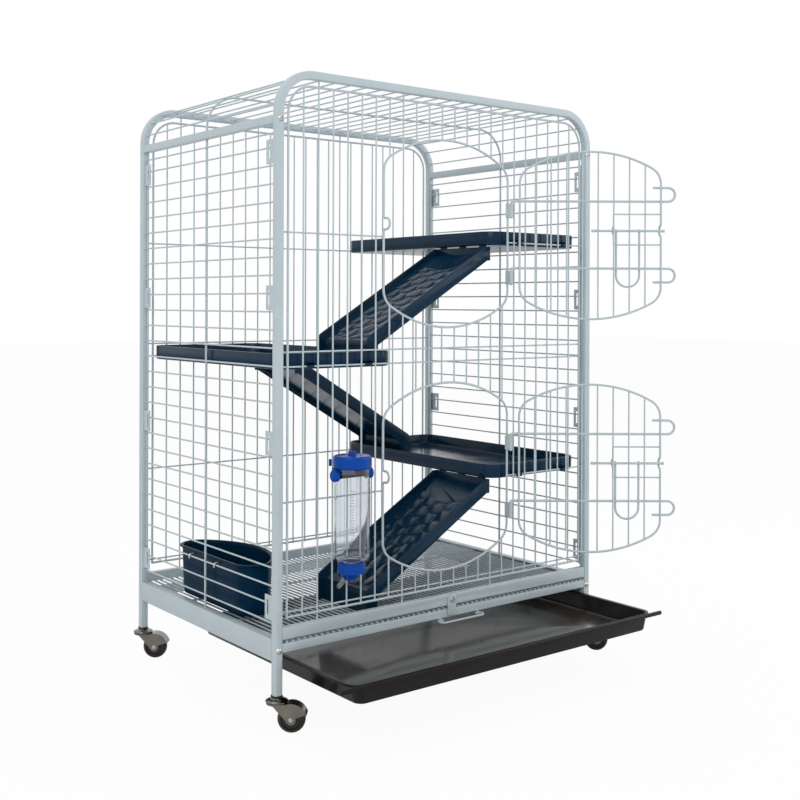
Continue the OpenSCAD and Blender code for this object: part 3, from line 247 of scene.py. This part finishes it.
half_w, half_d, cage_h = 320, 220, 936
tube, hoop_r, post_z = 12, 62, 52
bend_x, bend_z = half_w - hoop_r, cage_h - hoop_r
post_x, post_y = half_w - tube / 2, half_d - tube / 2
for name, y in (("front_hoop", -post_y), ("rear_hoop", post_y)):
    r = hoop_r - tube / 2
    route = [(-post_x, y, post_z)]
    route += [(-bend_x - r * math.cos(a), y, bend_z + r * math.sin(a))
              for a in (math.radians(5 * k) for k in range(19))]
    route += [(-x, py, z) for x, py, z in reversed(route)]
    host = points_mesh(route, [(i, i + 1) for i in range(len(route) - 1)])
    piece = grown(name + "_tube", host, tube_tree)
    piece.data.set_sharp_from_angle(angle=math.radians(40))
    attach(piece, "cage_frame")
    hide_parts(name)

# ---- rails, plates and tabs ----
# Straight tubes and folded sheets between the hoops, with slotted tabs beside the side panels.
# Cut, folded and punched from mild steel, their edges eased by the coat of powder.


def eased(node, width, material, body, steps=2, angle=28):
    """A copy of a piece of the frame with its sharp edges rounded, which stands in for it."""
    shape = bmesh.new()
    shape.from_mesh(nodes[node].data)
    bmesh.ops.remove_doubles(shape, verts=shape.verts, dist=3e-6)
    bmesh.ops.dissolve_limit(shape, angle_limit=math.radians(0.5), verts=shape.verts,
                             edges=shape.edges)
    sharp = [e for e in shape.edges
             if len(e.link_faces) == 2 and e.calc_face_angle(0) > math.radians(angle)]
    bmesh.ops.bevel(shape, geom=sharp, offset=width * mm, segments=steps, profile=0.5,
                    affect="EDGES", clamp_overlap=False)
    mesh = bpy.data.meshes.new(node + "_eased")
    shape.to_mesh(mesh)
    shape.free()
    mesh.materials.clear()
    mesh.materials.append(material)
    for face in mesh.polygons:
        face.material_index = 0
        face.use_smooth = True
    mesh.set_sharp_from_angle(angle=math.radians(34))
    piece = bpy.data.objects.new(node + "_eased", mesh)
    bpy.context.scene.collection.objects.link(piece)
    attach(piece, body)
    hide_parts(node)
    return piece


for node in ("left_top_rail", "right_top_rail", "front_upper_rail", "front_lower_rail",
             "rear_upper_rail", "rear_lower_rail"):
    eased(node, 1.0, powder_coat, "cage_frame", steps=3)
for node in ("left_base_plate", "right_base_plate", "panel_tabs"):
    eased(node, 0.4, powder_coat, "cage_frame")
eased("grate_latch", 0.4, powder_coat, "latch_body")

# ---- wire panels and their welds ----
# Drawn steel wire, laid crosswise and welded at each crossing, then powder coated. The coat
# fills the crossings to small rounded beads.


def recoat(node, material):
    for held in nodes[node].material_slots:
        held.material = material


for node in ("front_panel", "back_panel", "left_panel", "right_panel", "top_grille", "floor_grate",
             "upper_door", "lower_door", "upper_door_clips", "lower_door_clips",
             "upper_door_bolt", "lower_door_bolt", "tray_bail"):
    recoat(node, powder_coat)

bead_tree, given, solid = new_tree("weld_bead", powder_coat, Radius=0.0018, Seed=4)
bead = bead_tree.nodes.new("GeometryNodeMeshIcoSphere")
bead.inputs["Subdivisions"].default_value = 2
spread = bead_tree.nodes.new("FunctionNodeRandomValue")
spread.data_type = "FLOAT"
spread.inputs["Min"].default_value = 0.85
spread.inputs["Max"].default_value = 1.1
set_down = bead_tree.nodes.new("GeometryNodeInstanceOnPoints")
join = bead_tree.links.new
join(given.outputs["Start"], set_down.inputs["Points"])
join(given.outputs["Radius"], bead.inputs["Radius"])
join(given.outputs["Seed"], spread.inputs["Seed"])
join(bead.outputs["Mesh"], set_down.inputs["Instance"])
join(next(s for s in spread.outputs if s.enabled), set_down.inputs["Scale"])
join(set_down.outputs[0], solid.inputs[0])

wire_d, edge_d, weld = 2.5, 3.5, 0.45
wire_pitch, edge_x = 25.9, half_w - 22
top_wire, middle_wire, lower_wire = 704, 512.5, 320.5
gaps = round(2 * edge_x / wire_pitch)
pitch_x = 2 * edge_x / gaps
uprights = [-edge_x + k * pitch_x for k in range(1, gaps)]
weld_y = post_y - (wire_d - weld) / 2
door_half = 127
beads = []
for x in uprights + [-edge_x, edge_x]:
    for z in (top_wire, lower_wire, middle_wire, 533.5, 165):
        beads.append((x, weld_y, z))
        # the two door openings cut the front panel's cross wires
        if abs(x) > door_half or z not in (top_wire, lower_wire):
            beads.append((x, -weld_y, z))
    if abs(x) < edge_x:
        beads += [(x, s * post_y, 157.6) for s in (-1, 1)]
side_z = [150.6 + wire_pitch * k for k in range(27)] + [844]
for s in (-1, 1):
    for z in side_z:
        beads += [(s * (post_x - 1.3), y, z) for y in (-205.9, 0, 205.9)]
grille_r = hoop_r - tube / 2
grille_n = math.floor(bend_x / wire_pitch)
grille = [(k * bend_x / grille_n, cage_h - tube / 2) for k in range(-grille_n, grille_n + 1)]
turn = 90 / (math.floor(grille_r * math.pi / 2 / wire_pitch) + 0.5)
for s in (-1, 1):
    for k in range(1, 4):
        a = math.radians(k * turn)
        grille.append((s * (bend_x + grille_r * math.sin(a)), bend_z + grille_r * math.cos(a)))
for x, z in grille:
    beads += [(x, s * 208, z) for s in (-1, 1)]
    inward = Vector((x - max(-bend_x, min(bend_x, x)), z - bend_z)).normalized() * 1.2
    beads.append((x - inward[0], 0, z - inward[1]))
piece = grown("panel_welds", points_mesh(beads), bead_tree)
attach(piece, "cage_frame")

# ---- screws, bolts and hooks ----
# Zinc plated steel, turned and headed. The plating is bright, with a faint warm cast and fine
# marks from the barrel.
zinc = coating("zinc_plate", paint(196, 194, 186), 0.3, metal=1.0, grain=0.5, relief=0.1,
               mottle=0.1, rough_spread=0.12)
for node in ("frame_bolts", "latch_screw", "bowl_fixings", "bottle_spout", "bottle_ball"):
    recoat(node, zinc)

# ---- shelves ----
# Trays moulded in dark blue polypropylene with a rounded rim. Hooks at the front and the back
# hang them on the panels' cross wires.
navy = coating("navy_plastic", paint(6, 44, 68), 0.18, grain=0.55, relief=0.06, mottle=0.1,
               rough_spread=0.05, shine=0.18)
navy_floor = coating("navy_floor_plastic", paint(14, 44, 66), 0.14, grain=0.8, relief=0.02,
                     mottle=0.1, rough_spread=0.05, shine=0.45)


def rounded_ring(cx, cy, w, d, r, z, steps=8):
    """Points round a rectangle w by d with corners of radius r, at the height z."""
    ring = []
    for k, (sx, sy) in enumerate(((1, 1), (-1, 1), (-1, -1), (1, -1))):
        for i in range(steps + 1):
            a = math.radians(90 * (k + i / steps))
            ring.append((cx + sx * (w / 2 - r) + r * math.cos(a),
                         cy + sy * (d / 2 - r) + r * math.sin(a), z))
    return ring


def lofted(shape, rings, closed=True):
    """Adds a skin over rings of equal counts to the shape; closed fills both ends."""
    rows = [[shape.verts.new(Vector(p) * mm) for p in ring] for ring in rings]
    count = len(rows[0])
    for low, high in zip(rows, rows[1:]):
        for i in range(count):
            shape.faces.new((low[i], low[(i + 1) % count], high[(i + 1) % count], high[i]))
    if closed:
        shape.faces.new(rows[0][::-1])
        shape.faces.new(rows[-1])


def slab(shape, low, high, ease=0.6):
    """Adds a box with eased edges to the shape."""
    made = bmesh.ops.create_cube(shape, size=1)
    size = [h - l for l, h in zip(low, high)]
    for v in made["verts"]:
        v.co = Vector([(l + (c + 0.5) * s) * mm for l, c, s in zip(low, v.co, size)])
    edges = list({e for v in made["verts"] for e in v.link_edges})
    bmesh.ops.bevel(shape, geom=edges, offset=ease * mm, segments=2, profile=0.5, affect="EDGES")


def finished(shape, name, material, body, replaced=(), angle=40):
    """The shape as a piece of the object, its faces turned outwards."""
    bmesh.ops.recalc_face_normals(shape, faces=shape.faces)
    mesh = bpy.data.meshes.new(name)
    shape.to_mesh(mesh)
    shape.free()
    mesh.materials.append(material)
    for face in mesh.polygons:
        face.use_smooth = True
    mesh.set_sharp_from_angle(angle=math.radians(angle))
    piece = bpy.data.objects.new(name, mesh)
    bpy.context.scene.collection.objects.link(piece)
    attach(piece, body)
    if replaced:
        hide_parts(*replaced)
    return piece


shelf_w, shelf_d, shelf_h, shelf_r = 208, 412, 23, 28
shelf_mid = half_w - 14 - shelf_w / 2
shelf_drop = 4.5                     # from the wire that carries a shelf to its underside
hook_gaps, hook_half = (1.5, 5.5), 6
for name, wire_z, side in (("top_shelf", top_wire, 1), ("middle_shelf", middle_wire, -1),
                           ("lower_shelf", lower_wire, 1)):
    z0 = wire_z - shelf_drop
    profile = [(5, 0), (2, 0.3), (0.7, 1.2), (0.2, 2.6), (0, shelf_h - 1.4), (0.4, shelf_h - 0.4),
               (1.2, shelf_h), (1.8, shelf_h), (2.6, shelf_h - 0.4), (3, shelf_h - 1.4),
               (3.2, 6.5), (3.8, 4.6), (5, 3.5), (7.5, 3)]
    shape = bmesh.new()
    lofted(shape, [rounded_ring(side * shelf_mid, 0, shelf_w - 2 * inset, shelf_d - 2 * inset,
                                shelf_r - inset, z0 + up) for inset, up in profile])
    for gap in hook_gaps:
        for s in (-1, 1):
            x = side * (edge_x - gap * pitch_x)
            top = wire_z + wire_d / 2 + 0.3
            y0, y1 = sorted((s * 205, s * 216.1))
            slab(shape, (x - hook_half, y0, top), (x + hook_half, y1, top + 4))
            y0, y1 = sorted((s * 213.6, s * 216.1))
            slab(shape, (x - hook_half, y0, z0 + 1), (x + hook_half, y1, top + 4))
    shell = finished(shape, name + "_tray", navy, "cage_frame", (name,))
    shell.data.materials.append(navy_floor)
    for face in shell.data.polygons:
        # the floor is polished, the rim is left matt
        if face.normal.z > 0.9 and abs(face.center.z - (z0 + 3) * mm) < 0.5 * mm:
            face.material_index = 1

# ---- ramps ----
# One piece mouldings in the same plastic, with raised tiles on the tread to give the paws a
# hold. Three hooked tabs pass up through slots in the shelf above.
ramp_w, ramp_y, shelf_edge = 135, -124.5, 98
for node, wire_z, side in (("upper_ramp", top_wire, 1), ("middle_ramp", middle_wire, -1),
                           ("lower_ramp", lower_wire, 1)):
    eased(node, 0.5, navy, "cage_frame", angle=5)
    # the ramp's head between its rims, just under the shelf
    head_x = sorted((side * (shelf_edge - 1), side * (shelf_edge + 12.4)))
    head_y = sorted((side * (ramp_y - ramp_w / 2 + 0.6), side * (ramp_y + ramp_w / 2 - 0.6)))
    top = wire_z - shelf_drop - 2.2
    shape = bmesh.new()
    head_mid = side * (shelf_edge + 10.4)
    slab(shape, (head_mid - 2, head_y[0], top - 16), (head_mid + 2, head_y[1], top))
    for y in head_y:
        inner = y + (3 if y == head_y[0] else -3)
        slab(shape, (head_x[0], min(y, inner), top - 12), (head_x[1], max(y, inner), top))
    finished(shape, node + "_head", navy, "cage_frame")

# ---- bowl ----
# Glossy dark blue plastic, round in front and flat against the side panel, with a rolled rim.
# Two hook bolts hold it on a wire of the panel.
bowl_blue = coating("bowl_plastic", paint(4, 42, 66), 0.24, grain=1.5, relief=0.04, mottle=0.06,
                    rough_spread=0.04, shine=0.04)
bowl_flat, bowl_y, bowl_deep = -305, 2, 92
bow_r, bowl_corner = 140, 28
bow_x = bowl_flat + bowl_deep - bow_r
corner_x = bowl_flat + bowl_corner
corner_y = math.sqrt((bow_r - bowl_corner) ** 2 - (corner_x - bow_x) ** 2)
bow_half = math.atan2(corner_y, corner_x - bow_x)


def bowl_ring(inset, z, bow_n=40, corner_n=18, flat_n=12):
    """Points round a bow with two rounded ends and a flat back, set in by inset."""
    r, corner = bow_r - inset, max(1, bowl_corner - inset)
    ring = [(bow_x + r * math.cos(a), r * math.sin(a))
            for a in (bow_half * (2 * i / bow_n - 1) for i in range(bow_n))]
    turn_by = math.pi - bow_half
    end = [(corner_x + corner * math.cos(a), corner_y + corner * math.sin(a))
           for a in (bow_half + turn_by * i / corner_n for i in range(corner_n))]
    back = [(corner_x - corner, corner_y * (1 - 2 * i / flat_n)) for i in range(flat_n)]
    other = [(x, -y) for x, y in reversed(end)]
    return [(x, bowl_y + y, z) for x, y in ring + end + back + other]


shape = bmesh.new()
lofted(shape, [bowl_ring(inset, z) for inset, z in (
    (9, 133), (5, 133.4), (3.6, 135.4), (2.6, 150), (1.2, 195), (0.8, 206), (0.4, 207.4),
    (-1.6, 207.8), (-3, 208.4), (-3.5, 209.4), (-3, 210.4), (-1.8, 211), (0.6, 210.9),
    (2.2, 210.2), (3, 208.8), (3.4, 206), (5.4, 140), (7, 137), (10, 135.6))])
finished(shape, "bowl_shell", bowl_blue, "cage_frame", ("bowl",))

# ---- water bottle ----
# Blown clear bottle with a bright blue cap at each end, held outside the front panel by a half
# ring clip. A steel spout with a ball reaches in between two uprights.
clear = coating("clear_plastic", (0.93, 0.96, 1, 1), 0.05, grain=6, relief=0.02, mottle=0.01,
                rough_spread=0.02)
clear.node_tree.nodes["Principled BSDF"].inputs["Transmission Weight"].default_value = 1
clear.node_tree.nodes["Principled BSDF"].inputs["IOR"].default_value = 1.47
cap_blue = coating("cap_plastic", paint(0, 70, 165), 0.2, grain=1.2, relief=0.05, mottle=0.05,
                   rough_spread=0.05, shine=0.15)
bottle_x, bottle_y = -edge_x + 3.5 * pitch_x, -244.85


def turned(profile, n=64):
    """Rings round the bottle's axis, one for each radius and height of the profile."""
    angles = [2 * math.pi * i / n for i in range(n)]
    return [[(bottle_x + r * math.cos(a), bottle_y + r * math.sin(a), z) for a in angles]
            for r, z in profile]


shape = bmesh.new()
outside = [(15, 220.2), (15, 230.6), (17, 231.8), (22, 232.6), (24.4, 233.8), (25.6, 235.6),
           (26, 238.5), (26, 243), (25.4, 244.5), (26, 246), (26, 340), (25.5, 341.5), (26, 343),
           (26, 373.6)]
inside = [(24.5, 373.6), (24.5, 343), (24, 341.5), (24.5, 340), (24.5, 246), (23.9, 244.5),
          (24.5, 243), (24.4, 238.5), (24, 236.5), (22, 234.8), (17, 233.6), (13.6, 232.4),
          (13.5, 230), (13.5, 220.2)]
lofted(shape, turned(outside + inside), closed=False)
bmesh.ops.remove_doubles(shape, verts=shape.verts, dist=1e-6)
finished(shape, "bottle_shell", clear, "bottle", ("bottle_body",))

eased("bottle_top_cap", 1.6, cap_blue, "bottle", steps=4)
eased("bottle_lower_cap", 0.8, cap_blue, "bottle", steps=3)
eased("bottle_holder", 0.5, cap_blue, "cage_frame")

# the scale is printed on the side that faces forwards and left
ink = coating("scale_ink", paint(40, 52, 66), 0.5, grain=3, relief=0.02)
scale_a, scale_r, scale_z, scale_step = math.radians(-123), 26, 252, 4.2
shape = bmesh.new()
for k in range(21):
    # a long mark at every fifth step of the scale
    reach = 7 if k % 5 == 0 else 4
    made = bmesh.ops.create_cube(shape, size=1)
    for v in made["verts"]:
        a = scale_a + v.co.x * reach / scale_r
        r = scale_r + 0.02 + v.co.y * 0.1
        z = scale_z + scale_step * k + v.co.z * 0.5
        v.co = Vector((bottle_x + r * math.cos(a), bottle_y + r * math.sin(a), z)) * mm
bmesh.ops.bevel(shape, geom=list(shape.edges), offset=0.02 * mm, segments=1, affect="EDGES")
finished(shape, "bottle_scale", ink, "bottle")

# ---- tray ----
# Vacuum formed from glossy black sheet, with rounded corners and a slightly crowned floor. A
# flange runs on the base plates' ledges, and the front lip reaches as wide as the posts.
tray_black = coating("tray_plastic", paint(31, 28, 27), 0.14, grain=5, relief=0.02, mottle=0.08,
                     rough_spread=0.04, shine=0.14)
# the floor is the same black sheet, its colour painted lighter as a painted reflection; its lower
# roughness and high IOR give it real gloss
tray_floor_painted_sheen = coating("tray_floor_painted_sheen_plastic", paint(62, 56, 52), 0.15, grain=9, relief=0.012,
                     mottle=0.05, rough_spread=0.04)
tray_floor_painted_sheen.node_tree.nodes["Principled BSDF"].inputs["IOR"].default_value = 2.3
tray_y0, tray_y1, tray_crown = -375.5, 49.6, 7
tray_profile = [(278, 6, 78.2), (284, 3, 79.2), (287.4, 1.9, 82), (293, 1.6, 100.6),
                (294, 1.2, 102.4), (295.4, 0.6, 103), (298, -1.2, 103), (301.4, -4.2, 103),
                (302.6, -4.6, 102.6), (303, -4.8, 101.9), (302.6, -4.7, 101), (301.5, -4.2, 100.8),
                (296.4, 0, 100.7), (295.6, 0.3, 99.8), (289, 0.6, 78.4), (287.4, 1.6, 76.4),
                (282, 4, 76)]


def tray_ring(half, inset, z, share=1.0):
    """Points round the pan at the height z; share draws the ring in towards its middle."""
    low = tray_y0 + max(0, inset)
    high = tray_y1 - 6 - inset
    corner = 14 - min(8, inset)
    return rounded_ring(0, (low + high) / 2, 2 * half * share, (high - low) * share,
                        corner * share, z)


shape = bmesh.new()
half, inset, floor_z = tray_profile[0]
floor_rings = [tray_ring(half, inset, floor_z + tray_crown * (1 - f * f), f)
               for f in (0.02, 0.15, 0.3, 0.45, 0.6, 0.72, 0.82, 0.9, 0.96)]
lofted(shape, floor_rings + [tray_ring(*row) for row in tray_profile])
lip_y, lip_out = tray_y0 + 1, -380.4
lip_mid, lip_w = (lip_y + lip_out) / 2, lip_y - lip_out
lofted(shape, [rounded_ring(0, lip_mid, 2 * (half_w - inset), lip_w - 2 * inset, 2.9 - inset, z, 4)
               for inset, z in ((0.8, 96.6), (0.2, 97), (0, 97.8), (0, 100.6), (0.5, 101.8),
                                (1.5, 102.4))])
slab(shape, (-290, tray_y0 - 1, 97.8), (290, tray_y0 + 2, 102.8), 0.9)
shell = finished(shape, "tray_shell", tray_black, "tray_body", ("tray",))
shell.data.materials.append(tray_floor_painted_sheen)
for face in shell.data.polygons:
    # the pan's floor has taken the mould's polish, and its lighter colour is a painted reflection of
    # the bright room
    if face.normal.z > 0.9 and 0.0775 < face.center.z < 0.0865:
        face.material_index = 1

# ---- casters ----
# Zinc plated pressings with a bearing race, a hooded fork and a riveted black wheel, each on a
# stem in the black plug that closes a post.
plug_black = coating("plug_plastic", paint(30, 29, 28), 0.5, grain=0.7, relief=0.2)
wheel_black = coating("wheel_plastic", paint(27, 24, 22), 0.38, grain=0.6, relief=0.2, mottle=0.15)
# the pressings' zinc is painted darker than the bolts' zinc, a painted reflection of dark
# surroundings in the bright metal
dark_reflection_zinc = coating("zinc_with_painted_dark_reflection", paint(128, 124, 116), 0.2, metal=1.0, grain=0.6, relief=0.1,
                  mottle=0.16, rough_spread=0.1)
recoat("post_inserts", plug_black)
recoat("caster_stems", dark_reflection_zinc)
for post in ("front_left", "front_right", "rear_left", "rear_right"):
    recoat(post + "_wheel", wheel_black)
    recoat(post + "_fork", dark_reflection_zinc)
    recoat(post + "_axle", zinc)
